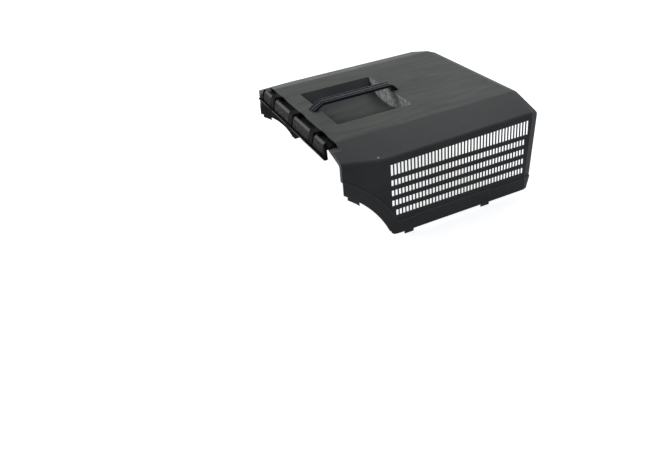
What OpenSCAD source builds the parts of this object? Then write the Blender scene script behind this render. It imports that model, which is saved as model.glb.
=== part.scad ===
// Upper shell of a lawn mower grass box, with its grip and its front hanging rail.
// +X points to the rear, -X to the open mouth, +Z up. The origin lies under the
// middle of the shell, on the level that the clip tongues stand on.

/* [Shell] */
// Length of the closed side panel along the rim, from the fold to the rear edge
panel_l = 330; // [322:1:350]
// Length of the inturned cheek in front of the fold
cheek_l = 102; // [98:1:112]
// Width of the shell over its side panels at the rim
rim_w = 505; // [480:1:560]
// How far each cheek turns in at the mouth, taken down to the rim
cheek_in = 24.5; // [18:0.5:32]
// Width of the flat top between its two long creases
top_w = 319; // [300:1:335]
// Height of the top above the rim, at the middle of the shell
top_h = 195.5; // [185:1:215]
// Wall thickness of the moulding
wall = 2; // [1.6:0.1:2.6]
// Lean of the side panels from upright, in degrees
side_draft = 4.8; // [3:0.1:6]
// Lean of the cheeks from upright, in degrees
cheek_draft = 3.2; // [2:0.1:4]
// Lean of the rear edge from upright, in degrees
rear_draft = 4.8; // [3:0.1:6]
// Fall of the top towards the mouth, in degrees
top_fall = 1.3; // [0:0.05:2]
// Slope of the long bevels beside the top, in degrees
bevel_slope = 17; // [14:0.5:20]
// Length of the long chamfer round the rear end
rear_break_l = 19.5; // [12:0.5:24]
// Depth of that chamfer
rear_break_d = 7; // [4:0.5:9]
// Size of the edge turned in round the open rear end
rear_edge = 8; // [5:0.5:12]
// Depth of the flange that carries on inwards from that edge
rear_flange = 5; // [3:0.5:9]
// Height over the rim at which the turned edge ends
rear_foot = 38; // [34:1:45]
// Length of the cut off the skirt's lower rear corner
rear_corner = 11; // [6:1:15]
// Depth of the flange turned in round the mouth
mouth_flange = 8; // [6:0.5:12]
// Softness of the long edges
edge_r = 5; // [2:0.5:8]
// Distance over which the fold turns
fold_soft = 9; // [4:1:14]

/* [Rim and arch] */
// Height of the joggled skirt
skirt_h = 27; // [22:0.5:32]
// Extra height of the skirt between its two slits
skirt_step = 3; // [1:0.5:4]
// How far the skirt stands out from the panel
skirt_out = 2.7; // [2:0.1:2.9]
// Radius of the wheel arch at its lower edge
arch_r = 201; // [190:1:206]
// Width of the joggled band over the arch
arch_band = 25; // [20:0.5:28]
// Arch centre in front of the fold's foot
arch_back = 201; // [196:1:206]
// Arch centre below the rim
arch_drop = 68; // [60:1:72]
// Radius of the corner between the arch and the rim
arch_foot_r = 9; // [5:1:12]

/* [Grille] */
// Distance from slot to slot
slot_pitch = 8; // [7:0.1:9]
// Width of one slot
slot_w = 5.6; // [4.5:0.1:6]
// Height of one slot
slot_h = 12.9; // [11:0.1:15]
// Distance from row to row
row_pitch = 22.4; // [20:0.1:23]
// Number of short rows below the tall one
short_rows = 4; // [3:1:4]
// Height of the lowest row's middle up the panel
row_first = 47.4; // [44:0.1:52]
// Bar left between the tall top row and the bevel
top_bar = 14; // [11:0.5:17]
// Middle of the first column of slots, ahead of the fold's foot
slot_ahead = 4; // [3:0.5:5]
// Solid strip between the last slot's middle and the rear edge
slot_rear = 5; // [4:0.5:9]

/* [Hand recess] */
// Length of the recess
recess_l = 179; // [160:1:190]
// Width of the recess
recess_w = 192; // [170:1:200]
// Depth of the recess below the top
recess_d = 38; // [30:1:42]
// Distance from the mouth to the recess
recess_x = 56; // [54:1:60]
// Radius of the scooped floor
scoop_r = 178; // [165:1:200]
// How far the deepest line lies off the middle
scoop_off = 13; // [5:1:20]
// Slope of the steep side wall, in degrees
steep = 46; // [40:1:60]

/* [Grip] */
// Width of the grip strap
grip_w = 23; // [18:0.5:28]
// Thickness of the grip strap over its ridges
grip_t = 7; // [6:0.2:9]
// Height of the grip's upper face over the top
grip_h = 16; // [14:0.5:24]
// Overhang of the grip beyond each end of the recess
grip_over = 14; // [11:0.5:15]
// Slope of the front leg, in degrees
front_leg = 31; // [25:1:45]
// Slope of the rear leg, in degrees
rear_leg = 46; // [35:1:55]
// Radius of the bends, at the middle of the strap
bend_r = 14; // [10:0.5:18]
// Width of the groove between the two ridges
groove_w = 7; // [4:0.5:10]
// Depth of that groove
groove_d = 1.3; // [0.8:0.1:2]
// Roundness of the strap's upper edges
strap_r = 2; // [1:0.25:2.5]
// Length of the tenon under each foot
tenon_l = 5; // [4:0.5:7]
// Width of that tenon
tenon_w = 15; // [10:0.5:17]
// Depth of the tenon's head under the wall
head_h = 3; // [2:0.5:4]
// Overhang of that head
head_hook = 1.6; // [1:0.1:2]

/* [Rail] */
// Length of the rail over its lower lip
rail_l = 358; // [350:1:370]
// How much shorter the rail is at its ridge
rail_taper = 36; // [20:1:44]
// Length of the lowered ledge that the rail lies on
ledge_l = 18; // [15:0.5:24]
// Depth of that ledge below the top
ledge_d = 7.5; // [6:0.5:9]
// Height of the ridge over the ledge
ridge_h = 10; // [8:0.5:12]
// Breadth of the chamfer along the ridge
chamfer_w = 5.5; // [3:0.5:7]
// Width of the flat left on the ridge
ridge_w = 1.8; // [1:0.2:2.4]
// Depth of the front wall below the ledge
rail_drop = 15; // [12:0.5:20]
// Lean of the front wall from upright, in degrees
rail_lean = 14; // [8:1:20]
// Wall thickness of the rail
rail_t = 3; // [2.4:0.1:3.6]
// Reach of the lower lip in front of the wall
lip_l = 5; // [3:0.5:7]
// Thickness of that lip
lip_t = 2.6; // [2:0.1:4]
// Width of one arched gusset
gusset_w = 19; // [14:1:26]
// Distance from gusset to gusset
gusset_pitch = 103; // [96:1:110]
// Height of the gussets over the front wall
gusset_up = 4; // [2:0.5:6]
// How far the gussets stand in front of the panels
gusset_out = 2.2; // [1:0.2:3]
// Softness of a gusset's two bends
gusset_r = 5; // [3:0.5:6]
// Distance from rib to rib on the front panels
rib_pitch = 5; // [4:0.5:8]
// Width of one rib
rib_w = 1.6; // [1:0.1:2.4]
// How far a rib stands out
rib_out = 0.7; // [0.4:0.1:1.2]

/* [Clips] */
// Width of one clip tongue
clip_w = 22; // [16:1:26]
// How far the tongues hang below the rim
clip_drop = 6; // [4:0.5:8]
// Middle of the front clip, behind the fold's foot
clip_front = 28; // [24:1:34]
// Distance from the front clip to the rear clip
clip_gap = 194; // [180:1:210]
// Width of the slit beside each clip
slit_w = 1.8; // [1.2:0.1:2.6]
// Height of the slit beside each clip
slit_h = 18; // [14:1:20]
// Strip of skirt between a clip and its slit
slit_off = 1.6; // [1:0.2:4]
// How much a tongue is thinned on each face
tongue_thin = 0.2; // [0.1:0.05:0.3]
// How far a tongue's tip hooks inwards
clip_barb = 2.4; // [1.5:0.1:3]
// Distance from the mouth to the clip on the arch
arch_clip = 7; // [4:1:12]
// Clearance where two pieces fit together
fit = 0.3; // [0.2:0.05:0.5]

/* [Hidden] */
$fn = 64;

// Slopes as rise over run
side_lean = tan(side_draft);
cheek_lean = tan(cheek_draft);
rear_lean = tan(rear_draft);
fall = tan(top_fall);
bevel = tan(bevel_slope);

// How fast the cheek turns in, and the lean of the fold that follows from it
cheek_turn = cheek_in / cheek_l;
fold_lean = (side_lean - cheek_lean) / cheek_turn;

// Places along X, with the whole piece centred on the origin
chamfer_h = chamfer_w - ridge_w;
rail_reach = chamfer_w + (ridge_h - chamfer_h + rail_drop) * tan(rail_lean) + lip_l;
shell_l = cheek_l + panel_l + rear_break_l + rear_edge;
rear_top = (top_h - rear_break_d - rear_edge + fall * panel_l / 2) / (1 - fall * rear_lean);
mouth_x = rail_reach - (rail_reach + shell_l + rear_lean * rear_top) / 2;
fold_x = mouth_x + cheek_l;
rear_x = fold_x + panel_l;

// Places along Z: the rim stands on the clip tongues
rim_z = clip_drop;
top_z = rim_z + top_h - fall * (fold_x + panel_l / 2);
function top_at(x) = top_z + fall * x;

// Height of the ledge under the rail
ledge_z = top_at(mouth_x) - ledge_d;
// Places of the grip's two feet along the top
grip_front = mouth_x + recess_x - grip_over;
grip_rear = mouth_x + recess_x + recess_l + grip_over;
// Height of the strap's middle over the top
strap_z = grip_h - grip_t / 2;
// Middle of a clip to the far side of its slit
clip_side = clip_w / 2 + slit_off + slit_w;

// Steps in a soft corner, and in a bend of the grip
CORNER_STEPS = 3;
BEND_STEPS = 6;
// Sides of the scoop's full circle
SCOOP_SIDES = 180;
// Depth that a cutter reaches past the face it opens
past = 5;
// Depth that two forms of one moulding reach into each other
bite = 1;
// Largest reach that a cutter needs
far = 1000;

// Unit vector from one point towards another
function toward(a, b) = (b - a) / norm(b - a);

// Soft corner at p between its neighbours a and b: a parabola that leaves both sides at d
function soft(a, p, b, d) = [
    for (i = [0 : CORNER_STEPS])
        let (
            t = i / CORNER_STEPS,
            from = p + d * toward(p, a),
            to = p + d * toward(p, b)
        )
        (1 - t) * (1 - t) * from + 2 * t * (1 - t) * p + t * t * to
];

// A station is a leaning plane across the shell:
// [foot on the rim, lean, half width at the rim, lean of its sides, extra inset]
MOUTH = [mouth_x, 0, rim_w / 2 - cheek_in, cheek_lean, 0];
FOLD = [fold_x, -fold_lean, rim_w / 2, side_lean, 0];
REAR = [rear_x, rear_lean, rim_w / 2, side_lean, 0];

// Station part of the way from a to b
function between(a, b, t) = a + t * (b - a);

// Shift along X and extra inset of a crease, between slopes a and b, that lies i inside
function crease(a, b, i) =
    i / cos((b - a) / 2) * [-sin((a + b) / 2), cos((a + b) / 2)] - [0, i];

// Rear station moved back by x and inset by y, with its crease lying i inside
function rear_station(x, y, a, b, i) =
    let (shift = crease(a, b, i))
    REAR + [x + shift[0], 0, 0, 0, y + shift[1]];

// Stations from the mouth to the rear end, for a form that lies i inside the outer face
// and starts ahead of the mouth by the given length
function stations(i, ahead) =
    let (
        before = between(FOLD, MOUTH, fold_soft / cheek_l),
        behind = between(FOLD, REAR, fold_soft / panel_l),
        turn = atan2(rear_break_d, rear_break_l)
    )
    [
        between(MOUTH, FOLD, -ahead / cheek_l),
        before,
        between(between(before, behind, 0.5), FOLD, 0.5),
        behind,
        rear_station(0, 0, 0, turn, i),
        rear_station(rear_break_l, rear_break_d, turn, 45, i),
        rear_station(rear_break_l + rear_edge, rear_break_d + rear_edge, 45, 90, i)
    ];

// Half width of a station's side at height z over the rim, i inside the outer face
function side_y(st, z, i) = st[2] - st[3] * z - i * norm([1, st[3]]);

// Point of a station at half width y and height z over the rim
function at(st, y, z) = [st[0] + st[1] * z, y, rim_z + z];

// Half of a station's outline, from the rim up to the middle of the top
function half_ring(st, i, foot) =
    let (
        depth = i + st[4],
        rise = top_z - rim_z + fall * st[0],
        off = depth * norm([1, bevel]),
        z_side = (rise - off - bevel * (side_y(st, 0, depth) - top_w / 2))
            / (1 - bevel * st[3] - fall * st[1]),
        z_top = (rise - depth) / (1 - fall * st[1]),
        y_top = top_w / 2 - (off - depth) / bevel,
        low = at(st, side_y(st, foot, depth), foot),
        side = at(st, side_y(st, z_side, depth), z_side),
        crease = at(st, y_top, z_top)
    )
    concat(
        [low],
        soft(low, side, crease, edge_r),
        soft(side, crease, at(st, 0, z_top), edge_r)
    );

// Whole outline of a station: up the near side and down the far side
function ring(st, i, foot) =
    let (half = half_ring(st, i, foot), n = len(half))
    concat(
        [for (p = half) [p[0], -p[1], p[2]]],
        [for (k = [n - 1 : -1 : 0]) half[k]]
    );

// Solid skinned over closed rings of equally many points, capped at both ends
module skin(rings) {
    m = len(rings);
    n = len(rings[0]);
    sides = [
        for (a = [0 : m - 2], b = [0 : n - 1])
            let (c = (b + 1) % n)
            each [
                [a * n + b, a * n + c, (a + 1) * n + b],
                [a * n + c, (a + 1) * n + c, (a + 1) * n + b]
            ]
    ];
    front = [[for (b = [n - 1 : -1 : 0]) b]];
    back = [[for (b = [0 : n - 1]) (m - 1) * n + b]];
    polyhedron([for (r = rings) each r], concat(sides, front, back));
}

// Outline of the shell as a solid, i inside its outer face
module form(i, ahead = 0, foot = 0) {
    skin([for (st = stations(i, ahead)) ring(st, i, foot)]);
}

// Puts an outline of X and height over the rim across the whole width
module across() {
    translate([0, far / 2, rim_z])
        rotate([90, 0, 0])
            linear_extrude(far)
                children();
}

// Side view of the wheel arch, grown by the given width
module arch_disc(grow) {
    translate([fold_x - arch_back, -arch_drop])
        circle(arch_r + grow);
}

// Side view of the joggled skirt and arch band, cut back by the given step
module band_view(step) {
    translate([-far / 2, -past])
        square([far, skirt_h + past - step]);
    translate([clip_x(0) + clip_side - slit_w / 2, -past])
        square([clip_gap, skirt_h + skirt_step + past - step]);
    arch_disc(arch_band - step);
}

// Middle of clip 0 or 1 along X
function clip_x(k) = fold_x + clip_front + k * clip_gap;

// Puts a child on the near panel and on the far one: X stays, Y runs up the panel
module on_panels() {
    for (s = [0, 1])
        mirror([0, s, 0])
            translate([0, -rim_w / 2, rim_z])
                rotate([90 - side_draft, 0, 0])
                    children();
}

// Height up the panel at which the bevel starts
function bevel_v(x) =
    (top_at(x) - rim_z - bevel * (rim_w / 2 - top_w / 2))
    / (1 - bevel * side_lean) / cos(side_draft);

// Height up the panel of a row's middle, counted from the lowest row
function row_v(k) = row_first + k * row_pitch;

// Slots of one row, from the lower edge v0 to the top edge v1(x)
module slot(x, v0, v1) {
    translate([x - slot_w / 2, v0])
        square([slot_w, v1 - v0]);
}

// All slots of one panel, flat on X and the height up the panel
module slots() {
    x0 = fold_x - slot_ahead;
    count = floor((rear_x - slot_rear - x0) / slot_pitch);
    for (k = [0 : short_rows - 1], c = [0 : count]) {
        x = x0 + c * slot_pitch;
        v = row_v(k);
        if (clear_of_arch(x, v - slot_h / 2) && x < rear_x - slot_rear + v * rear_lean)
            slot(x, v - slot_h / 2, v + slot_h / 2);
    }
    for (c = [0 : count + 1]) {
        x = x0 + c * slot_pitch;
        slot(x, row_v(short_rows) - slot_h / 2, bevel_v(x) - top_bar);
    }
}

// Whether a slot's lower front corner stays off the arch band
function clear_of_arch(x, v) =
    norm([x - slot_w / 2 - fold_x + arch_back, v * cos(side_draft) + arch_drop])
    > arch_r + arch_band + wall;

// Puts a child on the sloping top: Z = 0 is the top face
module on_top() {
    translate([0, 0, top_z])
        rotate([0, -top_fall, 0])
            children();
}

// Section of the recess across the shell, grown by a wall
module scoop_view(grow) {
    foot_y = recess_w / 2;
    intersection() {
        translate([scoop_off, scoop_r - recess_d])
            circle(scoop_r + grow, $fn = SCOOP_SIDES);
        polygon([
            [-recess_w / 2 - grow * 2, past],
            [-recess_w / 2 - grow * 2, -recess_d - grow],
            [foot_y + grow / sin(steep) - (recess_d + grow) / tan(steep), -recess_d - grow],
            [foot_y + grow / sin(steep) + past / tan(steep), past]
        ]);
    }
}

// Body of the recess: the hollow itself, or with its walls
module scoop(grow) {
    on_top()
        translate([mouth_x + recess_x - grow, 0, 0])
            rotate([90, 0, 90])
                linear_extrude(recess_l + 2 * grow)
                    scoop_view(grow);
}

// Hole through the top for one tenon
module tenon_hole(x) {
    on_top()
        translate([x - tenon_l / 2 - fit, -tenon_w / 2 - fit, -wall - past])
            cube([tenon_l + 2 * fit, tenon_w + 2 * fit, wall + 2 * past]);
}

// Whole upper shell
module upper_shell() {
    color([0.27, 0.28, 0.26])
        difference() {
            union() {
                walls();
                intersection() {
                    form(wall / 2);
                    union() {
                        scoop(wall);
                        ledge(wall);
                    }
                }
                tongues();
            }
            scoop(0);
            ledge(0);
            on_panels()
                translate([0, 0, -past])
                    linear_extrude(2 * past) {
                        slots();
                        slits();
                    }
            tenon_hole(grip_front);
            tenon_hole(grip_rear);
        }
}

// The moulded wall before its slots and holes are cut
module walls() {
    difference() {
        open_wall();
        across() {
            arch_disc(0);
            arch_foot();
        }
    }
}

// Skirted wall, opened at the rear end
module open_wall() {
    difference() {
        skirted_wall();
        rear_opening();
        across() rear_foot_view();
    }
}

// Opening of the rear end, inside its turned edge and flange
module rear_opening() {
    x = rear_break_l + rear_edge;
    y = rear_break_d + rear_edge + rear_flange;
    skin([for (d = [-past, past]) ring(rear_station(x + d, y, 0, 0, 0), 0, -past)]);
}

// Side view of the cut that ends the turned edge above the skirt and takes off its corner
module rear_foot_view() {
    x = rear_x + rear_break_l;
    polygon([
        [far, rear_foot],
        [x + rear_foot * rear_lean, rear_foot],
        [x + skirt_h * rear_lean, skirt_h],
        [x - rear_corner, -past],
        [far, -past]
    ]);
}

// Wall with its joggled skirt and the flange round the mouth, closed at the rear end
// and over the wheel arches
module skirted_wall() {
    difference() {
        union() {
            form(0);
            intersection() {
                form(-skirt_out);
                across() band_view(0);
            }
        }
        difference() {
            form(wall, past, -past);
            mouth_ring();
        }
        intersection() {
            form(wall - skirt_out, past, -past);
            across() band_view(wall);
        }
    }
}

// Side view of the cut that rounds the corner between the arch and the rim
module arch_foot() {
    r = arch_foot_r;
    x = fold_x - arch_back + sqrt(arch_r * arch_r - arch_drop * arch_drop) - bite;
    difference() {
        translate([x - past, -past])
            square([r + past, r + past]);
        translate([x + r, r])
            circle(r);
        translate([x - past, r])
            square([past + r, past]);
    }
}

// Slab just inside the mouth, from which the inturned flange is cut
module mouth_ring() {
    difference() {
        translate([mouth_x, -far / 2, 0])
            cube([wall, far, far]);
        form(mouth_flange, past, -past);
    }
}

// Space above the rail's ledge, or with the wall round it
module ledge(grow) {
    translate([mouth_x - past, -far / 2, ledge_z - grow])
        cube([past + ledge_l + grow, far, far]);
}

// Wall of the tongues, a little thinner than the skirt that it carries on below the rim,
// and thickened inwards by the given barb
module tongue_wall(barb) {
    difference() {
        form(tongue_thin - skirt_out, 0, -clip_drop);
        form(wall - tongue_thin - skirt_out + barb, past, -clip_drop - past);
    }
}

// Clip tongues: two on each side under the rim, one on each side under the arch
module tongues() {
    intersection() {
        tongue_wall(0);
        across() {
            for (k = [0, 1])
                translate([clip_x(k) - clip_w / 2, -clip_drop])
                    square([clip_w, clip_drop + bite]);
            arch_clip_view(clip_drop);
        }
    }
    intersection() {
        tongue_wall(clip_barb);
        across() {
            for (k = [0, 1])
                translate([clip_x(k) - clip_w / 2 + clip_barb, -clip_drop])
                    square([clip_w - 2 * clip_barb, clip_drop / 2]);
        }
    }
}

// Side view of the clip on the arch, hanging below its edge
module arch_clip_view(drop) {
    intersection() {
        difference() {
            arch_disc(bite);
            arch_disc(-drop);
        }
        translate([mouth_x + arch_clip, 0])
            square([clip_w, far]);
    }
}

// Slit behind each tongue that lets it bend, flat on X and the height up the panel
module slits() {
    for (k = [0, 1])
        translate([clip_x(k) + clip_side - slit_w, skirt_h - slit_h + bite])
            square([slit_w, slit_h]);
}

// Section of the strap: [width across, thickness up], with a groove along its upper face
function strap_section() =
    let (
        w = grip_w / 2,
        t = grip_t / 2,
        g = groove_w / 2,
        half = concat(
            [[g - groove_d, t - groove_d], [g, t]],
            soft([g, t], [w, t], [w, -t], strap_r),
            soft([w, t], [w, -t], [0, -t], strap_r / 2)
        ),
        n = len(half)
    )
    concat(half, [for (k = [n - 1 : -1 : 0]) [-half[k][0], half[k][1]]]);

// Point of the strap's path, [along, up, slope], in the bend that starts where the bar ends
function bent(x, slope) =
    [x - bend_r * sin(slope), strap_z - bend_r * (1 - cos(slope)), slope];

// End of a leg, under the top: from its bend down the slope, away from the bar
function leg_end(x, slope) =
    let (p = bent(x, slope), l = strap_z / sin(abs(slope)) + grip_t)
    p - sign(slope) * l * [cos(slope), sin(slope), 0];

// Where the bar ends and a bend starts, measured from the foot
function bar_end(slope) = strap_z / tan(slope) + bend_r * tan(slope / 2);

// Path of the strap, from the front leg over the bar to the rear leg
function strap_path() =
    let (
        front = grip_front + bar_end(front_leg),
        rear = grip_rear - bar_end(rear_leg)
    )
    concat(
        [leg_end(front, front_leg)],
        [for (k = [BEND_STEPS : -1 : 0]) bent(front, front_leg * k / BEND_STEPS)],
        [for (k = [0 : BEND_STEPS]) bent(rear, -rear_leg * k / BEND_STEPS)],
        [leg_end(rear, -rear_leg)]
    );

// Strap: its section carried along the path
module strap() {
    section = strap_section();
    skin([
        for (p = strap_path())
            [for (q = section) [p[0] - q[1] * sin(p[2]), q[0], p[1] + q[1] * cos(p[2])]]
    ]);
}

// Tenon with its head, that holds one foot in the top
module tenon(x) {
    depth = wall + fit + head_h;
    translate([x - tenon_l / 2, -tenon_w / 2, -depth])
        cube([tenon_l, tenon_w, depth + bite]);
    translate([x - tenon_l / 2 - head_hook, -tenon_w / 2, -depth])
        cube([tenon_l + 2 * head_hook, tenon_w, head_h]);
}

// Whole grip
module grip() {
    color([0.13, 0.13, 0.16])
        on_top() {
            intersection() {
                strap();
                translate([-far / 2, -far / 2, 0])
                    cube(far);
            }
            tenon(grip_front);
            tenon(grip_rear);
        }
}

// Outer face of the rail's front wall at height z over the ledge, measured from the mouth
function face_x(z) = -chamfer_w - (ridge_h - chamfer_h - z) * tan(rail_lean);
// Section of the rail: front wall, ridge chamfer, lower lip and the base that lies on the ledge
module rail_view() {
    polygon([
        [0, rail_t],
        [0, ridge_h],
        [-ridge_w, ridge_h],
        [-chamfer_w, ridge_h - chamfer_h],
        [face_x(lip_t - rail_drop), lip_t - rail_drop],
        [face_x(-rail_drop) - lip_l, lip_t - rail_drop],
        [face_x(-rail_drop) - lip_l, -rail_drop],
        [face_x(-rail_drop) + rail_t, -rail_drop],
        [face_x(0) + rail_t, 0],
        [ledge_l - fit, 0],
        [ledge_l - fit, rail_t]
    ]);
}

// Outline of a gusset's arch, a given depth inside its outer face
module arch_view(depth) {
    crown = ridge_h + gusset_up - depth;
    polygon(concat(
        [[ledge_l - fit - depth, 0], [ledge_l - fit - depth, rail_t]],
        soft(
            [ledge_l - fit - depth, rail_t],
            [ledge_l - fit - depth - gusset_r, crown],
            [0, crown],
            gusset_r
        ),
        soft(
            [0, crown],
            [face_x(crown) - gusset_out + depth, crown],
            [face_x(-rail_drop) - gusset_out + depth, -rail_drop],
            gusset_r
        ),
        [
            [face_x(-rail_drop) - gusset_out + depth, -rail_drop],
            [face_x(-rail_drop) + rail_t, -rail_drop],
            [face_x(0) + rail_t, 0]
        ]
    ));
}

// Arched gusset across the groove: a strap of the rail's thickness, with its middle at y
module gusset(y) {
    along(y, gusset_w)
        difference() {
            arch_view(0);
            intersection() {
                arch_view(rail_t);
                translate([0, rail_t])
                    square(far);
            }
        }
}

// Extrudes an outline of X and height over the ledge along Y
module along(y, w) {
    translate([mouth_x, y + w / 2, ledge_z])
        rotate([90, 0, 0])
            linear_extrude(w)
                children();
}

// Ribs down the front panels
module ribs() {
    count = floor(rail_l / rib_pitch / 2);
    for (k = [-count : count])
        along(k * rib_pitch, rib_w)
            polygon([
                [face_x(ridge_h - chamfer_h) - rib_out, ridge_h - chamfer_h],
                [face_x(lip_t - rail_drop) - rib_out, lip_t - rail_drop],
                [face_x(lip_t - rail_drop) + bite, lip_t - rail_drop],
                [face_x(ridge_h - chamfer_h) + bite, ridge_h - chamfer_h]
            ]);
}

// Whole hanging rail
module hanging_rail() {
    top = ridge_h + gusset_up;
    slant = rail_taper / 2 / (ridge_h + rail_drop);
    high = rail_l / 2 - slant * (top + rail_drop);
    low = rail_l / 2;
    color([0.11, 0.11, 0.11])
        intersection() {
            union() {
                along(0, rail_l)
                    rail_view();
                ribs();
                for (k = [-1 : 1])
                    gusset(k * gusset_pitch);
                for (s = [-1, 1])
                    gusset(s * (rail_l - gusset_w) / 2);
            }
            translate([mouth_x - far / 2, 0, ledge_z])
                rotate([90, 0, 90])
                    linear_extrude(far)
                        polygon([
                            [-low, -rail_drop],
                            [low, -rail_drop],
                            [high, top],
                            [-high, top]
                        ]);
        }
}

upper_shell();
grip();
hanging_rail();
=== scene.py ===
"""Upper shell of a mower grass box in a plain studio.

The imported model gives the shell, the grip and the hanging rail at their real
size. This script keeps the shell and the rail and gives them their finishes. It
builds the grip again, with finer grooves and rounder bends, in the place of the
packed one, and adds a web behind each slit and the gate mark. The object's
lengths are written in millimetres and turned to metres once.
"""

from __future__ import annotations

import logging
import math
from dataclasses import dataclass, field, replace
from enum import Enum

import bpy
import numpy as np
from mathutils import Matrix, Vector


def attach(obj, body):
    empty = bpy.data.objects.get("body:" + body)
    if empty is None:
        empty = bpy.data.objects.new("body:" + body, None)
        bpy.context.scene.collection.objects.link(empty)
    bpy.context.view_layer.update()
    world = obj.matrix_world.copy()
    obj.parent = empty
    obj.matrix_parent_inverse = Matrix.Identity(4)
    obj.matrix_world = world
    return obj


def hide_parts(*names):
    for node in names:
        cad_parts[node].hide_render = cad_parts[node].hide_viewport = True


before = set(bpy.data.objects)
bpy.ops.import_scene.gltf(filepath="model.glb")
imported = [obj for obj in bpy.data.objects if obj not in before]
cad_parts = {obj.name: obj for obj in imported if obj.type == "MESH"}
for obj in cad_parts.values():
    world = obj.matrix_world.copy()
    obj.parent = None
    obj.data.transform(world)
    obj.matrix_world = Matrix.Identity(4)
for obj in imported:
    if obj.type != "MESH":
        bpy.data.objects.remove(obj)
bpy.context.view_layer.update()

MM = 0.001
BODY = "root"
PHOTO_WIDTH = 650
PHOTO_HEIGHT = 450
# A wave texture's phase turns by this many radians over one unit at a scale of one
WAVE_TURN = 20.0
EDGE_SAMPLES = 6
HOLLOW_SAMPLES = 8
LOG = logging.getLogger("grass_box")


class Slot(Enum):
    """Material slots of the record, by the moulding that takes them."""

    SHELL = "shell_plastic"
    GRIP = "grip_plastic"
    RAIL = "rail_plastic"


class Ray(Enum):
    """Kinds of light path that are shown the white background."""

    CAMERA = "Is Camera Ray"
    GLOSSY = "Is Glossy Ray"
    TRANSMISSION = "Is Transmission Ray"


def linear(colour: str) -> tuple[float, float, float, float]:
    """Turn an sRGB colour into the linear colour that shaders take.

    Args:
        colour: six hex digits after a hash sign.

    Returns:
        Linear red, green and blue, and an alpha of one.
    """
    srgb = np.array([int(colour[k : k + 2], 16) for k in (1, 3, 5)]) / 255
    low = srgb / 12.92
    high = ((srgb + 0.055) / 1.055) ** 2.4
    return (*np.where(srgb <= 0.04045, low, high).tolist(), 1.0)


def add_node(
    tree: bpy.types.NodeTree,
    kind: str,
    inputs: dict[str | int, object] | None = None,
    **properties: object,
) -> bpy.types.Node:
    """Add one shader node with its settings and links.

    Args:
        tree: node tree of a material or of the world.
        kind: Blender's name of the node without its ShaderNode prefix.
        inputs: value of each input, or the output socket that feeds it.
        properties: settings of the node itself.

    Returns:
        The new node.
    """
    made = tree.nodes.new(f"ShaderNode{kind}")
    for name, value in properties.items():
        setattr(made, name, value)
    for key, value in (inputs or {}).items():
        if isinstance(value, bpy.types.NodeSocket):
            tree.links.new(value, made.inputs[key])
        else:
            made.inputs[key].default_value = value
    return made


def add_background_mask(tree: bpy.types.NodeTree) -> bpy.types.NodeSocket:
    """Add a mask that is one on the paths that see the white background.

    Args:
        tree: node tree of the floor or of the world.

    Returns:
        Socket with the mask.
    """
    path = add_node(tree, "LightPath")
    mask = path.outputs[Ray.CAMERA.value]
    for ray in (Ray.GLOSSY, Ray.TRANSMISSION):
        inputs = {0: mask, 1: path.outputs[ray.value]}
        mask = add_node(tree, "Math", inputs, operation="MAXIMUM").outputs[0]
    return mask


def add_mesh(
    name: str, points: np.ndarray, faces: list[tuple[int, ...]], smooth: bool = True
) -> bpy.types.Object:
    """Put a mesh into the scene with its object at the origin.

    Args:
        name: name of the piece.
        points: array of shape (n, 3) in metres.
        faces: corner numbers of each face, which point outwards.
        smooth: whether the faces are shaded smooth.

    Returns:
        The new object.
    """
    mesh = bpy.data.meshes.new(name)
    mesh.from_pydata(points.tolist(), [], faces)
    mesh.polygons.foreach_set("use_smooth", np.full(len(faces), smooth))
    mesh.update()
    made = bpy.data.objects.new(name, mesh)
    bpy.context.scene.collection.objects.link(made)
    return made


def tube_faces(rings: int, sides: int) -> list[tuple[int, ...]]:
    """Faces of a closed tube over a grid of points.

    Args:
        rings: number of rings along the tube.
        sides: number of points round each ring, counted clockwise along the path.

    Returns:
        Quads between the rings, and one cap at each end.
    """
    ring, side = np.meshgrid(np.arange(rings - 1), np.arange(sides), indexing="ij")
    after = (side + 1) % sides
    corners = (
        ring * sides + side,
        (ring + 1) * sides + side,
        (ring + 1) * sides + after,
        ring * sides + after,
    )
    quads = np.stack(corners, axis=-1).reshape(-1, 4).tolist()
    last = (rings - 1) * sides
    caps = [tuple(range(sides)), tuple(range(last + sides - 1, last - 1, -1))]
    return [tuple(quad) for quad in quads] + caps


def rounded_box(centre: Vector, half: Vector, power: float, steps: int) -> tuple[np.ndarray, list]:
    """Box with soft corners, as a superellipsoid.

    With t from pole to pole and s round the box, a point is
    (sgn(cos t cos s)|cos t cos s|^e, sgn(cos t sin s)|cos t sin s|^e, sgn(sin t)|sin t|^e)
    times the half sizes, where e is the power: a small e gives a square box.

    Args:
        centre: middle of the box in millimetres.
        half: half sizes along X, Y and Z in millimetres.
        power: exponent of the superellipsoid.
        steps: steps from pole to pole; there are twice as many round the box.

    Returns:
        Points in metres, and the faces.
    """
    t = np.linspace(-math.pi / 2, math.pi / 2, steps + 1)[1:-1, None]
    s = np.linspace(0, 2 * math.pi, 2 * steps, endpoint=False)[None, :]

    def bend(value: np.ndarray) -> np.ndarray:
        """Raise a cosine or a sine to the power and keep its sign."""
        return np.sign(value) * np.abs(value) ** power

    x = bend(np.cos(t)) * bend(np.cos(s))
    y = bend(np.cos(t)) * bend(np.sin(s))
    z = bend(np.sin(t)) * np.ones_like(s)
    unit = np.stack([x, y, z], axis=-1).reshape(-1, 3)
    points = (np.array(centre) + unit * np.array(half)) * MM
    faces = tube_faces(steps - 1, 2 * steps)
    return points, [face[::-1] for face in faces]


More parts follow.
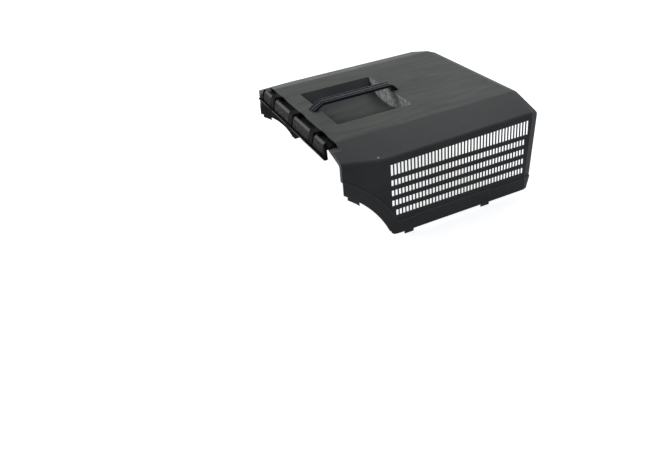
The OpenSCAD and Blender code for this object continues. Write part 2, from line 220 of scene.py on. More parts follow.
@dataclass(frozen=True)
class MouldedPlastic:
    """Polypropylene as it comes out of an injection mould.

    It is dyed through, so its colour hardly changes, and the eroded mould gives
    it a fine grain, which makes the gloss broad and soft. A painted highlight
    pales the edges, and painted shade darkens narrow hollows.

    Attributes:
        name: name of the material.
        colour: sRGB hex value of the dyed plastic.
        pale: sRGB hex value of plastic under dust, which the subclasses also use for painted light.
        painted_light_colour: sRGB hex value of the painted highlight on edges, and of the painted
            light that the subclasses add.
        painted_shade_colour: sRGB hex value of the painted shade inside narrow hollows.
        roughness: middle of the roughness.
        specular: level of the gloss seen straight on.
        grain: distance between the grains of the mould in millimetres. The real
            one is about 0.2 mm, which is too fine to show, so it is drawn coarser.
        grain_depth: depth of that grain in millimetres.
        mottle: size of the cloudy patches in millimetres.
        edge: radius over which the light turns round an edge, in millimetres.
        edge_highlight: how strongly the edges are paled by the painted highlight.
        hollow: width of the hollows that take painted shade, in millimetres.
        dust: share of the pale colour where the clouds bring most of it.
        cloud_range: values of the cloudy noise between which the dust grows.
        turned: cosine of the soft normal's turn at which an edge takes its full painted highlight.
        shade: open shares at which a hollow takes its full painted shade, and none at all.
        smear: size of the fine scuffs in the gloss in millimetres.
        smear_range: sums of clouds and scuffs between which the roughness grows.
        spread: how far the roughness goes down and up from its middle.
        grain_strength: strength of the grain's relief.
        ior: refractive index of polypropylene.
    """

    name: str
    colour: str
    pale: str
    painted_light_colour: str
    painted_shade_colour: str
    roughness: float
    specular: float
    grain: float = 0.9
    grain_depth: float = 0.04
    mottle: float = 70.0
    edge: float = 1.4
    edge_highlight: float = 0.3
    hollow: float = 6.0
    dust: float = 0.2
    cloud_range: tuple[float, float] = (0.3, 0.7)
    turned: float = 0.9
    shade: tuple[float, float] = (0.6, 0.9)
    smear: float = 5.0
    smear_range: tuple[float, float] = (0.7, 1.3)
    spread: float = 0.07
    grain_strength: float = 0.6
    ior: float = 1.49

    def build(self) -> bpy.types.Material:
        """Build the material from nodes on Object coordinates.

        Returns:
            The new material.
        """
        material = bpy.data.materials.new(self.name)
        material.use_nodes = True
        tree = material.node_tree
        tree.nodes.clear()
        place = add_node(tree, "TexCoord").outputs["Object"]
        normal = add_node(tree, "NewGeometry").outputs["Normal"]
        inputs = {"Radius": self.edge * MM}
        round_normal = add_node(tree, "Bevel", inputs, samples=EDGE_SAMPLES).outputs[0]
        clouds = self.noise(tree, place, self.mottle, detail=4.0)
        patches = self.patches(tree, place, normal, clouds)
        painted_light_share = self.painted_light_share(tree, place, normal, round_normal)
        shader = add_node(
            tree,
            "BsdfPrincipled",
            {
                "Base Color": self.tint(tree, patches, painted_light_share),
                "Roughness": self.gloss(tree, clouds, place),
                "Normal": self.relief(tree, place, round_normal),
                "Specular IOR Level": self.specular,
                "IOR": self.ior,
            },
        )
        add_node(tree, "OutputMaterial", {"Surface": shader.outputs[0]})
        return material

    @staticmethod
    def noise(
        tree: bpy.types.NodeTree, place: bpy.types.NodeSocket, size: float, detail: float
    ) -> bpy.types.NodeSocket:
        """Add a noise pattern of a real size.

        Args:
            tree: node tree of the material.
            place: coordinates in metres.
            size: size of one patch in millimetres.
            detail: octaves of finer noise.

        Returns:
            Socket with the noise, about a half on average.
        """
        inputs = {"Vector": place, "Scale": 1 / (size * MM), "Detail": detail}
        return add_node(tree, "TexNoise", inputs).outputs[0]

    def patches(
        self,
        tree: bpy.types.NodeTree,
        place: bpy.types.NodeSocket,
        normal: bpy.types.NodeSocket,
        clouds: bpy.types.NodeSocket,
    ) -> bpy.types.NodeSocket:
        """Share of the pale colour over the surface: soft clouds of dust.

        Args:
            tree: node tree of the material.
            place: Object coordinates; not used here.
            normal: true normal of the surface; not used here.
            clouds: cloudy noise.

        Returns:
            Socket with the share.
        """
        least, most = self.cloud_range
        inputs = {0: clouds, 1: least, 2: most, 3: 0.0, 4: self.dust}
        return add_node(tree, "MapRange", inputs).outputs[0]

    def painted_light_share(
        self,
        tree: bpy.types.NodeTree,
        place: bpy.types.NodeSocket,
        normal: bpy.types.NodeSocket,
        round_normal: bpy.types.NodeSocket,
    ) -> bpy.types.NodeSocket:
        """Share of the painted highlight: it grows as the soft normal turns at an edge.

        Args:
            tree: node tree of the material.
            place: Object coordinates; not used here.
            normal: true normal of the surface.
            round_normal: normal that turns softly round the edges.

        Returns:
            Socket with the share.
        """
        # Painted highlight: edges pale as the soft normal turns away from the true one
        inputs = {0: round_normal, 1: normal}
        flat = add_node(tree, "VectorMath", inputs, operation="DOT_PRODUCT").outputs["Value"]
        inputs = {0: flat, 1: 1.0, 2: self.turned, 3: 0.0, 4: self.edge_highlight}
        return add_node(tree, "MapRange", inputs).outputs[0]

    def tint(
        self,
        tree: bpy.types.NodeTree,
        patches: bpy.types.NodeSocket,
        painted_light_share: bpy.types.NodeSocket,
    ) -> bpy.types.NodeSocket:
        """Mix the dyed colour with dust, painted light on edges and painted shade in hollows.

        Args:
            tree: node tree of the material.
            patches: share of the pale colour.
            painted_light_share: share of the painted light.

        Returns:
            Socket with the base colour.
        """
        # Dust, and in the subclasses painted light, bring in the pale colour
        inputs = {0: patches, 6: linear(self.colour), 7: linear(self.pale)}
        dust_and_painted_light = add_node(tree, "Mix", inputs, data_type="RGBA").outputs[2]
        # Painted light: the highlight on edges, and the faces that the subclasses pick, take this
        # colour
        inputs = {0: painted_light_share, 6: dust_and_painted_light, 7: linear(self.painted_light_colour)}
        painted_light_colour = add_node(tree, "Mix", inputs, data_type="RGBA").outputs[2]
        # Painted shade: ambient occlusion darkens the colour in narrow hollows
        reach = {"Distance": self.hollow * MM}
        open_share = add_node(tree, "AmbientOcclusion", reach, samples=HOLLOW_SAMPLES).outputs["AO"]
        dark, clear = self.shade
        inputs = {0: open_share, 1: dark, 2: clear, 3: 1.0, 4: 0.0}
        hollow = add_node(tree, "MapRange", inputs).outputs[0]
        inputs = {0: hollow, 6: painted_light_colour, 7: linear(self.painted_shade_colour)}
        return add_node(tree, "Mix", inputs, data_type="RGBA").outputs[2]

    def gloss(
        self,
        tree: bpy.types.NodeTree,
        clouds: bpy.types.NodeSocket,
        place: bpy.types.NodeSocket,
    ) -> bpy.types.NodeSocket:
        """Vary the roughness with the clouds and with fine scuffs.

        Args:
            tree: node tree of the material.
            clouds: cloudy noise.
            place: Object coordinates.

        Returns:
            Socket with the roughness.
        """
        scuffs = self.noise(tree, place, self.smear, detail=5.0)
        inputs = {0: clouds, 1: scuffs}
        both = add_node(tree, "Math", inputs, operation="ADD").outputs[0]
        least, most = self.smear_range
        smooth, rough = self.roughness - self.spread, self.roughness + self.spread
        inputs = {0: both, 1: least, 2: most, 3: smooth, 4: rough}
        return add_node(tree, "MapRange", inputs).outputs[0]

    def relief(
        self,
        tree: bpy.types.NodeTree,
        place: bpy.types.NodeSocket,
        round_normal: bpy.types.NodeSocket,
    ) -> bpy.types.NodeSocket:
        """Raise the grain of the mould on the softly turned normal.

        Args:
            tree: node tree of the material.
            place: Object coordinates.
            round_normal: normal that turns softly round the edges.

        Returns:
            Socket with the normal.
        """
        inputs = {
            "Height": self.noise(tree, place, self.grain, detail=2.0),
            "Distance": self.grain_depth * MM,
            "Strength": self.grain_strength,
            "Normal": round_normal,
        }
        return add_node(tree, "Bump", inputs).outputs[0]


@dataclass(frozen=True)
class ShellPlastic(MouldedPlastic):
    """Moulded plastic with streaks and painted light on top, and painted light on the recess's end
    wall.

    Attributes:
        streak_length: length of the streaks along X in millimetres.
        streak_width: width of the streaks in millimetres.
        streak_and_top_light: how strongly the streaks show; they pale only faces that look up, and
            so paint light on the top.
        lit_scuff_size: size of the scuffs that break up the painted light on the recess's end wall,
            in millimetres.
        lit_wall_from: place along X behind which that wall begins, in millimetres.
        lit_wall_half: half the width of the recess in millimetres.
        streak_range: values of the streaks' noise between which they grow.
        lit_top_level: upward parts of the normal between which a face takes the streaks and their
            painted light.
        lit_scuff_range: values of the scuffs' noise between which the painted light grows.
        lit_scuff_least: share of the painted light between the scuffs.
        lit_wall_facing: parts of the normal along X between which a face takes the painted light.
    """

    streak_length: float = 170.0
    streak_width: float = 30.0
    streak_and_top_light: float = 0.62
    lit_scuff_size: float = 9.0
    lit_wall_from: float = -30.0
    lit_wall_half: float = 90.0
    streak_range: tuple[float, float] = (0.25, 0.85)
    lit_top_level: tuple[float, float] = (0.95, 0.985)
    lit_scuff_range: tuple[float, float] = (0.35, 0.65)
    lit_scuff_least: float = 0.35
    lit_wall_facing: tuple[float, float] = (-0.3, -0.5)

    def patches(
        self,
        tree: bpy.types.NodeTree,
        place: bpy.types.NodeSocket,
        normal: bpy.types.NodeSocket,
        clouds: bpy.types.NodeSocket,
    ) -> bpy.types.NodeSocket:
        """Share of the pale colour: clouds, and streaks on top that are partly painted light.

        Args:
            tree: node tree of the material.
            place: Object coordinates.
            normal: true normal of the surface.
            clouds: cloudy noise.

        Returns:
            Socket with the share.
        """
        dust = super().patches(tree, place, normal, clouds)
        stretch = (1 / (self.streak_length * MM), *[1 / (self.streak_width * MM)] * 2)
        along = add_node(tree, "Mapping", {"Vector": place, "Scale": stretch}).outputs[0]
        inputs = {"Vector": along, "Scale": 1.0, "Detail": 4.0, "Roughness": 0.65, "Distortion": 1.0}
        streaks = add_node(tree, "TexNoise", inputs).outputs[0]
        least, most = self.streak_range
        shown = add_node(tree, "MapRange", {0: streaks, 1: least, 2: most}).outputs[0]
        # Painted light: the streaks show only on faces that look up, which lightens the top
        height = add_node(tree, "SeparateXYZ", {0: normal}).outputs[2]
        leaning, level = self.lit_top_level
        inputs = {0: height, 1: leaning, 2: level, 3: 0.0, 4: self.streak_and_top_light}
        upward = add_node(tree, "MapRange", inputs).outputs[0]
        inputs = {0: shown, 1: upward, 2: dust}
        return add_node(tree, "Math", inputs, operation="MULTIPLY_ADD", use_clamp=True).outputs[0]

    def painted_light_share(
        self,
        tree: bpy.types.NodeTree,
        place: bpy.types.NodeSocket,
        normal: bpy.types.NodeSocket,
        round_normal: bpy.types.NodeSocket,
    ) -> bpy.types.NodeSocket:
        """Share of the painted light: highlight on edges, and light with scuffs on the recess's end
        wall.

        That wall faces the left lamp, so light is painted on it, broken up by scuffs. It is
        the one face behind the start of that wall and between the recess's sides that looks forward.

        Args:
            tree: node tree of the material.
            place: Object coordinates.
            normal: true normal of the surface.
            round_normal: normal that turns softly round the edges.

        Returns:
            Socket with the share.
        """
        edges = super().painted_light_share(tree, place, normal, round_normal)
        # Painted light on the recess's end wall, which faces the left lamp, broken up by scuffs
        spots = self.noise(tree, place, self.lit_scuff_size, detail=5.0)
        least, most = self.lit_scuff_range
        inputs = {0: spots, 1: least, 2: most, 3: self.lit_scuff_least, 4: 1.0}
        scuffs = add_node(tree, "MapRange", inputs)
        spot = add_node(tree, "SeparateXYZ", {0: place})
        inputs = {0: spot.outputs[0], 1: self.lit_wall_from * MM}
        behind = add_node(tree, "Math", inputs, operation="GREATER_THAN")
        aside = add_node(tree, "Math", {0: spot.outputs[1]}, operation="ABSOLUTE").outputs[0]
        inputs = {0: aside, 1: self.lit_wall_half * MM}
        within = add_node(tree, "Math", inputs, operation="LESS_THAN")
        ahead = add_node(tree, "SeparateXYZ", {0: normal}).outputs[0]
        aslant, facing = self.lit_wall_facing
        share = add_node(tree, "MapRange", {0: ahead, 1: aslant, 2: facing}).outputs[0]
        for limit in (behind, within, scuffs):
            inputs = {0: share, 1: limit.outputs[0]}
            share = add_node(tree, "Math", inputs, operation="MULTIPLY").outputs[0]
        return add_node(tree, "Math", {0: edges, 1: share}, operation="MAXIMUM").outputs[0]


@dataclass(frozen=True)
class RailPlastic(MouldedPlastic):
    """Moulded plastic whose front panels take painted light, in clouds, between the gussets.

    Attributes:
        gusset_pitch: distance from gusset to gusset along Y in millimetres.
        gusset_width: width of one gusset in millimetres.
        last: distance from the middle to the inner side of the gussets at the ends.
        panel: how strongly the panels are paled by painted light.
        rib: distance between the fine ribs of the panels in millimetres.
        rib_depth: depth of those ribs in millimetres.
        chamfer: direction that the chamfer along the ridge looks in.
        panel_facing: parts of the normal along X between which a face takes the painted light.
        panel_least: share of the painted light where the clouds leave least.
        fade: breadth over which a panel starts beside a gusset, in millimetres.
        chamfer_near: closeness to its direction between which the chamfer takes painted light.
        chamfer_light: share of the painted light on the chamfer.
    """

    gusset_pitch: float = 103.0
    gusset_width: float = 19.0
    last: float = 160.0
    panel: float = 0.6
    rib: float = 2.5
    rib_depth: float = 0.5
    chamfer: tuple[float, float, float] = (-0.56, 0.0, 0.83)
    panel_facing: tuple[float, float] = (-0.3, -0.8)
    panel_least: float = 0.6
    fade: float = 1.5
    chamfer_near: tuple[float, float] = (0.95, 0.99)
    chamfer_light: float = 0.5

    def patches(
        self,
        tree: bpy.types.NodeTree,
        place: bpy.types.NodeSocket,
        normal: bpy.types.NodeSocket,
        clouds: bpy.types.NodeSocket,
    ) -> bpy.types.NodeSocket:
        """Share of the pale colour: painted light in clouds on the panels that look forward, towards
        the left lamp.

        Args:
            tree: node tree of the material.
            place: Object coordinates.
            normal: true normal of the surface.
            clouds: cloudy noise.

        Returns:
            Socket with the share.
        """
        # Painted light: the panels that face the left lamp are paled between the gussets
        ahead = add_node(tree, "SeparateXYZ", {0: normal}).outputs[0]
        aslant, facing = self.panel_facing
        inputs = {0: ahead, 1: aslant, 2: facing, 3: 0.0, 4: self.panel}
        forward = add_node(tree, "MapRange", inputs).outputs[0]
        # The clouds break up the painted light on the panels
        least, most = self.cloud_range
        inputs = {0: clouds, 1: least, 2: most, 3: self.panel_least, 4: 1.0}
        dust = add_node(tree, "MapRange", inputs).outputs[0]
        inputs = {0: forward, 1: dust}
        share = add_node(tree, "Math", inputs, operation="MULTIPLY").outputs[0]
        inputs = {0: share, 1: self.between(tree, place)}
        return add_node(tree, "Math", inputs, operation="MULTIPLY").outputs[0]

    def between(
        self, tree: bpy.types.NodeTree, place: bpy.types.NodeSocket
    ) -> bpy.types.NodeSocket:
        """Add a mask that is one between the gussets and zero on them.

        A gusset stands in the middle and one pitch from it on each side, so the distance
        to the nearest one is the absolute value of Y wrapped into one pitch about zero.

        Args:
            tree: node tree of the material.
            place: Object coordinates.

        Returns:
            Socket with the mask.
        """
        half = self.gusset_pitch * MM / 2
        across = add_node(tree, "SeparateXYZ", {0: place}).outputs[1]
        inputs = {0: across, 1: -half, 2: half}
        wrapped = add_node(tree, "Math", inputs, operation="WRAP").outputs[0]
        far = add_node(tree, "Math", {0: wrapped}, operation="ABSOLUTE").outputs[0]
        side = self.gusset_width * MM / 2
        inputs = {0: far, 1: side, 2: side + self.fade * MM}
        clear = add_node(tree, "MapRange", inputs).outputs[0]
        aside = add_node(tree, "Math", {0: across}, operation="ABSOLUTE").outputs[0]
        inputs = {0: aside, 1: self.last * MM}
        inside = add_node(tree, "Math", inputs, operation="LESS_THAN").outputs[0]
        inputs = {0: clear, 1: inside}
        return add_node(tree, "Math", inputs, operation="MULTIPLY").outputs[0]

    def painted_light_share(
        self,
        tree: bpy.types.NodeTree,
        place: bpy.types.NodeSocket,
        normal: bpy.types.NodeSocket,
        round_normal: bpy.types.NodeSocket,
    ) -> bpy.types.NodeSocket:
        """Share of the painted light: highlight on edges, and light on the chamfer between the
        gussets.

        The chamfer is the face that looks up and forward, towards the left lamp.

        Args:
            tree: node tree of the material.
            place: Object coordinates.
            normal: true normal of the surface.
            round_normal: normal that turns softly round the edges.

        Returns:
            Socket with the share.
        """
        edges = super().painted_light_share(tree, place, normal, round_normal)
        # Painted light on the chamfer, which looks up and towards the left lamp
        inputs = {0: normal, 1: self.chamfer}
        toward = add_node(tree, "VectorMath", inputs, operation="DOT_PRODUCT").outputs["Value"]
        aside, near = self.chamfer_near
        inputs = {0: toward, 1: aside, 2: near, 3: 0.0, 4: self.chamfer_light}
        chamfer = add_node(tree, "MapRange", inputs).outputs[0]
        inputs = {0: edges, 1: chamfer}
        share = add_node(tree, "Math", inputs, operation="MAXIMUM").outputs[0]
        inputs = {0: share, 1: self.between(tree, place)}
        return add_node(tree, "Math", inputs, operation="MULTIPLY").outputs[0]

    def relief(
        self,
        tree: bpy.types.NodeTree,
        place: bpy.types.NodeSocket,
        round_normal: bpy.types.NodeSocket,
    ) -> bpy.types.NodeSocket:
        """Raise fine upright ribs across the rail, under the grain of the mould.

        Args:
            tree: node tree of the material.
            place: Object coordinates.
            round_normal: normal that turns softly round the edges.

        Returns:
            Socket with the normal.
        """
        waves = 2 * math.pi / (self.rib * MM) / WAVE_TURN
        inputs = {"Vector": place, "Scale": waves}
        bands = add_node(tree, "TexWave", inputs, bands_direction="Y").outputs["Fac"]
        inputs = {
            "Height": bands,
            "Distance": self.rib_depth * MM,
            "Strength": 1.0,
            "Normal": round_normal,
        }
        ribbed = add_node(tree, "Bump", inputs).outputs[0]
        return super().relief(tree, place, ribbed)


# Charcoal polypropylene: satin and faintly blue, with dust, greenish streaks that show only on top
# as painted light, painted highlight on edges and painted shade in hollows
SHELL_FINISH = ShellPlastic(
    name="charcoal_polypropylene_eroded",
    colour="#313335",
    pale="#565850",
    painted_light_colour="#888b85",
    painted_shade_colour="#272829",
    roughness=0.45,
    specular=0.06,
    edge_highlight=0.6,
    hollow=0.5,
)
# The same polypropylene where the sprue was cut off: rough and pale
GATE_FINISH = replace(
    SHELL_FINISH,
    name="charcoal_polypropylene_cut",
    colour="#6c6f6b",
    pale="#858883",
    roughness=0.6,
)
# Blue-black polypropylene from a polished mould: smoother, with clear highlights, painted highlight
# on its edges and painted shade in its grooves
GRIP_FINISH = MouldedPlastic(
    name="blue_black_polypropylene_polished",
    colour="#242429",
    pale="#333339",
    painted_light_colour="#a6a6ae",
    painted_shade_colour="#030304",
    roughness=0.32,
    specular=0.08,
    grain=1.2,
    grain_depth=0.02,
    mottle=40.0,
    edge=0.9,
    edge_highlight=1.0,
    hollow=5.0,
)
# Near-black polypropylene: ribbed panels and a chamfer with painted light between the gussets,
# painted highlight on edges and painted shade in hollows
RAIL_FINISH = RailPlastic(
    name="near_black_polypropylene_ribbed",
    colour="#0c0c0c",
    pale="#434541",
    painted_light_colour="#7c7e7a",
    painted_shade_colour="#040404",
    roughness=0.5,
    specular=0.03,
    grain_depth=0.03,
    mottle=50.0,
    edge=0.9,
    edge_highlight=0.8,
    hollow=9.0,
)


@dataclass
class Grip:
    """Carry grip: a strap with two grooves that bends down to a foot at each end.

    The strap's section is carried along a path in the plane of symmetry. The
    path lies in the frame of the top, which falls a little towards the mouth.

    Attributes:
        width: width of the strap in millimetres, as all sizes here.
        thickness: thickness of the strap beside its grooves.
        height: height of the strap's upper face over the top.
        front_foot: middle of the front foot along the top, from the origin.
        rear_foot: middle of the rear foot along the top.
        front_slope: slope of the front leg in degrees.
        rear_slope: slope of the rear leg in degrees.
        bend: radius of the bends at the strap's middle.
        groove: width of each of the two grooves along the upper face.
        groove_middle: distance from the strap's middle to the middle of a groove.
        groove_depth: depth of a groove.
        groove_wall: breadth of a groove's soft walls.
        corner: radius of the strap's upper corners.
        low_corner: radius of its lower corners.
        top_z: height of the top at the origin.
        fall: fall of the top towards the mouth in degrees.
        tenon_at: middles of the two tenons along the top.
        tenon: length and width of the tenon under a foot.
        tenon_depth: depth of the tenon under the top.
        head: overhang and height of the tenon's head.
        tenon_power: exponent of the tenons' soft corners.
        tenon_steps: steps from pole to pole of one block of a tenon.
        under_steps: steps in half the underside.
        corner_steps: steps in the quarter circle of a corner.
        upper_steps: steps in half the upper side, close enough for its grooves.
        bend_steps: steps in one bend.
        bar_steps: steps in the bar between the bends.
        leg_steps: steps in one leg.
    """

    width: float = 23.0
    thickness: float = 7.0
    height: float = 16.0
    front_foot: float = -184.6
    rear_foot: float = 19.4
    front_slope: float = 31.0
    rear_slope: float = 46.0
    bend: float = 14.0
    groove: float = 4.2
    groove_middle: float = 5.9
    groove_depth: float = 2.8
    groove_wall: float = 1.2
    corner: float = 1.2
    low_corner: float = 2.5
    top_z: float = 200.65
    fall: float = 1.3
    tenon_at: tuple[float, float] = (-187.6, 19.4)
    tenon: tuple[float, float] = (5.0, 15.0)
    tenon_depth: float = 5.3
    head: tuple[float, float] = (1.6, 3.0)
    tenon_power: float = 0.25
    tenon_steps: int = 12
    under_steps: int = 6
    corner_steps: int = 6
    upper_steps: int = 47
    bend_steps: int = 20
    bar_steps: int = 29
    leg_steps: int = 8

    def section(self) -> np.ndarray:
        """Section of the strap, clockwise along the path.

        One half runs from the middle of the underside to the middle of the upper
        side: a line, a quarter circle, the side, a quarter circle, and the upper
        side, where each point lies lower by the groove's depth times a smooth step
        of its distance from the groove's middle. The other half is its mirror. Both
        run counter-clockwise, so their order is turned round at the end.

        Returns:
            Array of shape (sides, 2): across the strap and out of its upper face.
        """
        half_w, half_t = self.width / 2, self.thickness / 2
        turn = np.linspace(0, math.pi / 2, self.corner_steps + 1)
        low = half_w - self.low_corner
        high = half_w - self.corner
        flat = np.linspace(0, low, self.under_steps, endpoint=False)
        under = np.stack([flat, np.full_like(flat, -half_t)], axis=-1)
        low_arc = np.stack(
            [
                low + self.low_corner * np.sin(turn),
                self.low_corner - half_t - self.low_corner * np.cos(turn),
            ],
            axis=-1,
        )
        high_arc = np.stack(
            [high + self.corner * np.cos(turn), half_t - self.corner * (1 - np.sin(turn))],
            axis=-1,
        )
        across = np.linspace(high, 0, self.upper_steps + 1)[1:]
        into = (self.groove / 2 - np.abs(across - self.groove_middle)) / self.groove_wall
        share = np.clip(into, 0, 1)
        upper = np.stack(
            [across, half_t - self.groove_depth * share**2 * (3 - 2 * share)], axis=-1
        )
        half = np.concatenate([under, low_arc, high_arc, upper])
        mirrored = half[-2:0:-1] * [-1, 1]
        return np.concatenate([half, mirrored])[::-1]

    def path(self) -> np.ndarray:
        """Path of the strap from the first bend to the last.

        A bend is an arc of the bend's radius from the leg's slope to level, and the
        bar between the bends is straight and level. A bend begins where a leg that
        rises from its foot at its slope meets the arc.

        Returns:
            Array of shape (rings, 3): along the top, height over it, and slope.
        """
        middle = self.height - self.thickness / 2
        bends = []
        for foot, slope, side in (
            (self.front_foot, math.radians(self.front_slope), 1),
            (self.rear_foot, math.radians(self.rear_slope), -1),
        ):
            reach = middle / math.tan(slope) + self.bend * math.tan(slope / 2)
            angle = np.linspace(slope, 0, self.bend_steps + 1)
            along = foot + side * (reach - self.bend * np.sin(angle))
            up = middle - self.bend * (1 - np.cos(angle))
            bends.append(np.stack([along, up, side * angle], axis=-1))
        front, rear = bends
        share = np.linspace(0, 1, self.bar_steps + 1)[1:-1, None]
        bar = front[-1] + share * (rear[-1] - front[-1])
        return np.concatenate([front, bar, rear[::-1]])

    def on_top(self, points: np.ndarray) -> np.ndarray:
        """Turn points from the frame of the top into the frame of the model.

        Args:
            points: array of shape (..., 3) in millimetres.

        Returns:
            Array of the same shape in metres.
        """
        turn = np.array(Matrix.Rotation(-math.radians(self.fall), 3, "Y"))
        return (points @ turn.T + [0, 0, self.top_z]) * MM

    def strap(self) -> tuple[np.ndarray, list]:
        """Strap with both legs, cut off level with the top.

        A ring of the bends and the bar is the section turned by the path's slope. A
        leg runs on from its bend: each point of the bend's last ring goes down the
        slope in equal steps until it lies on the top.

        Returns:
            Points in metres, and the faces.
        """
        path = self.path()[:, None, :]
        section = self.section()[None, :, :]
        rings = np.stack(
            [
                path[..., 0] - section[..., 1] * np.sin(path[..., 2]),
                section[..., 0] + 0 * path[..., 0],
                path[..., 1] + section[..., 1] * np.cos(path[..., 2]),
            ],
            axis=-1,
        )
        share = np.linspace(1, 0, self.leg_steps, endpoint=False)[:, None, None]
        legs = []
        for ring, slope in ((rings[0], path[0, 0, 2]), (rings[-1], path[-1, 0, 2])):
            run = ring[:, 2:] / math.sin(abs(slope))
            down = -np.sign(slope) * np.array([math.cos(slope), 0, math.sin(slope)])
            legs.append(ring + share * run * down)
        front, rear = legs
        rings = np.concatenate([front, rings, rear[::-1]])
        points = self.on_top(rings.reshape(-1, 3))
        return points, tube_faces(*rings.shape[:2])

    def tenons(self) -> tuple[np.ndarray, list]:
        """Two tenons, each a soft block with a wider head under the wall.

        Returns:
            Points in metres, and the faces.
        """
        length, width = self.tenon
        hook, head = self.head
        points, faces, count = [], [], 0
        for foot in self.tenon_at:
            for half_length, low, high in (
                (length / 2, -self.tenon_depth + head / 2, 0.0),
                (length / 2 + hook, -self.tenon_depth, head - self.tenon_depth),
            ):
                centre = Vector((foot, 0, (low + high) / 2))
                half = Vector((half_length, width / 2, (high - low) / 2))
                block, block_faces = rounded_box(centre, half, self.tenon_power, self.tenon_steps)
                points.append(self.on_top(block / MM))
                faces += [tuple(corner + count for corner in face) for face in block_faces]
                count += len(block)
        return np.concatenate(points), faces

    def build(self, finish: bpy.types.Material) -> bpy.types.Object:
        """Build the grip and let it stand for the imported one.

        Args:
            finish: material of the grip.

        Returns:
            The grip.
        """
        strap, strap_faces = self.strap()
        tenons, tenon_faces = self.tenons()
        count = len(strap)
        moved = [tuple(corner + count for corner in face) for face in tenon_faces]
        grip = add_mesh("grip_strap", np.concatenate([strap, tenons]), strap_faces + moved)
        grip.data.materials.append(finish)
        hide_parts("grip")
        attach(grip, BODY)
        return grip


@dataclass
class ShellTrim:
    """Small forms of the shell's moulding: a web behind each slit, and the gate mark.

    Attributes:
        slits: middles of the two slits along X in millimetres, as all sizes here.
        slit_low: height of the slits' lower ends.
        slit_high: height of their upper ends.
        slit_half: half the width of a slit.
        rim_y: outer face of the side panel at the height of the rim.
        rim_z: height of the rim.
        lean: how far the panel leans inwards over each millimetre of height.
        web_out: middle of a web outside the panel's outer face.
        web_half: half the thickness of a web.
        overlap: how far a web reaches past its slit.
        gate: middle of the gate mark on the bevel.
        gate_normal: direction that the bevel looks in there.
        gate_half: half the width and half the height of the gate mark.
        web_power: exponent of the webs' soft corners.
        web_steps: steps from pole to pole of a web.
        gate_power: exponent of the gate mark's soft form.
        gate_steps: steps from pole to pole of the gate mark.
    """

    slits: tuple[float, float] = (-86.1, 107.9)
    slit_low: float = 16.0
    slit_high: float = 34.0
    slit_half: float = 0.9
    rim_y: float = 252.5
    rim_z: float = 6.0
    lean: float = 0.08397
    web_out: float = 0.4
    web_half: float = 0.3
    overlap: float = 0.8
    gate: tuple[float, float, float] = (-154.6, -228.4, 176.1)
    gate_normal: tuple[float, float, float] = (-0.022, -0.292, 0.956)
    gate_half: tuple[float, float] = (3.0, 1.2)
    web_power: float = 0.2
    web_steps: int = 8
    gate_power: float = 0.8
    gate_steps: int = 12

    def webs(self) -> tuple[np.ndarray, list]:
        """Four thin webs that close the slits on the inside of the skirt.

        A web is a soft box whose points are moved inwards by the panel's lean times
        their height over the rim.

        Returns:
            Points in metres, and the faces.
        """
        middle = (self.slit_low + self.slit_high) / 2
        tall = (self.slit_high - self.slit_low) / 2 + self.overlap
        half = Vector((self.slit_half + self.overlap, self.web_half, tall))
        points, faces, count = [], [], 0
        for side in (-1, 1):
            for along in self.slits:
                centre = Vector((along, side * (self.rim_y + self.web_out), middle))
                web, web_faces = rounded_box(centre, half, self.web_power, self.web_steps)
                web[:, 1] -= side * self.lean * (web[:, 2] - self.rim_z * MM)
                points.append(web)
                faces += [tuple(corner + count for corner in face) for face in web_faces]
                count += len(web)
        return np.concatenate(points), faces

    def gate_mark(self) -> tuple[np.ndarray, list]:
        """Low round stub that is left where the plastic was let into the mould.

        Returns:
            Points in metres, and the faces.
        """
        wide, high = self.gate_half
        half = Vector((wide, wide, high))
        dome, faces = rounded_box(Vector((0, 0, 0)), half, self.gate_power, self.gate_steps)
        turn = Vector((0, 0, 1)).rotation_difference(Vector(self.gate_normal)).to_matrix()
        return dome @ np.array(turn).T + np.array(self.gate) * MM, faces

    def build(self, finish: bpy.types.Material) -> list[bpy.types.Object]:
        """Build the webs and the gate mark.

        Args:
            finish: material of the shell, which the webs take.

        Returns:
            The new pieces.
        """
        webs = add_mesh("slit_webs", *self.webs())
        webs.data.materials.append(finish)
        gate = add_mesh("gate_mark", *self.gate_mark())
        gate.data.materials.append(GATE_FINISH.build())
        for piece in (webs, gate):
            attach(piece, BODY)
        return [webs, gate]


@dataclass(frozen=True)
class Lamp:
    """Square soft lamp of the studio.

    Attributes:
        name: name of the lamp.
        place: place of the lamp in metres.
        width: width of its face in metres.
        power: power in watts.
    """

    name: str
    place: tuple[float, float, float]
    width: float
    power: float


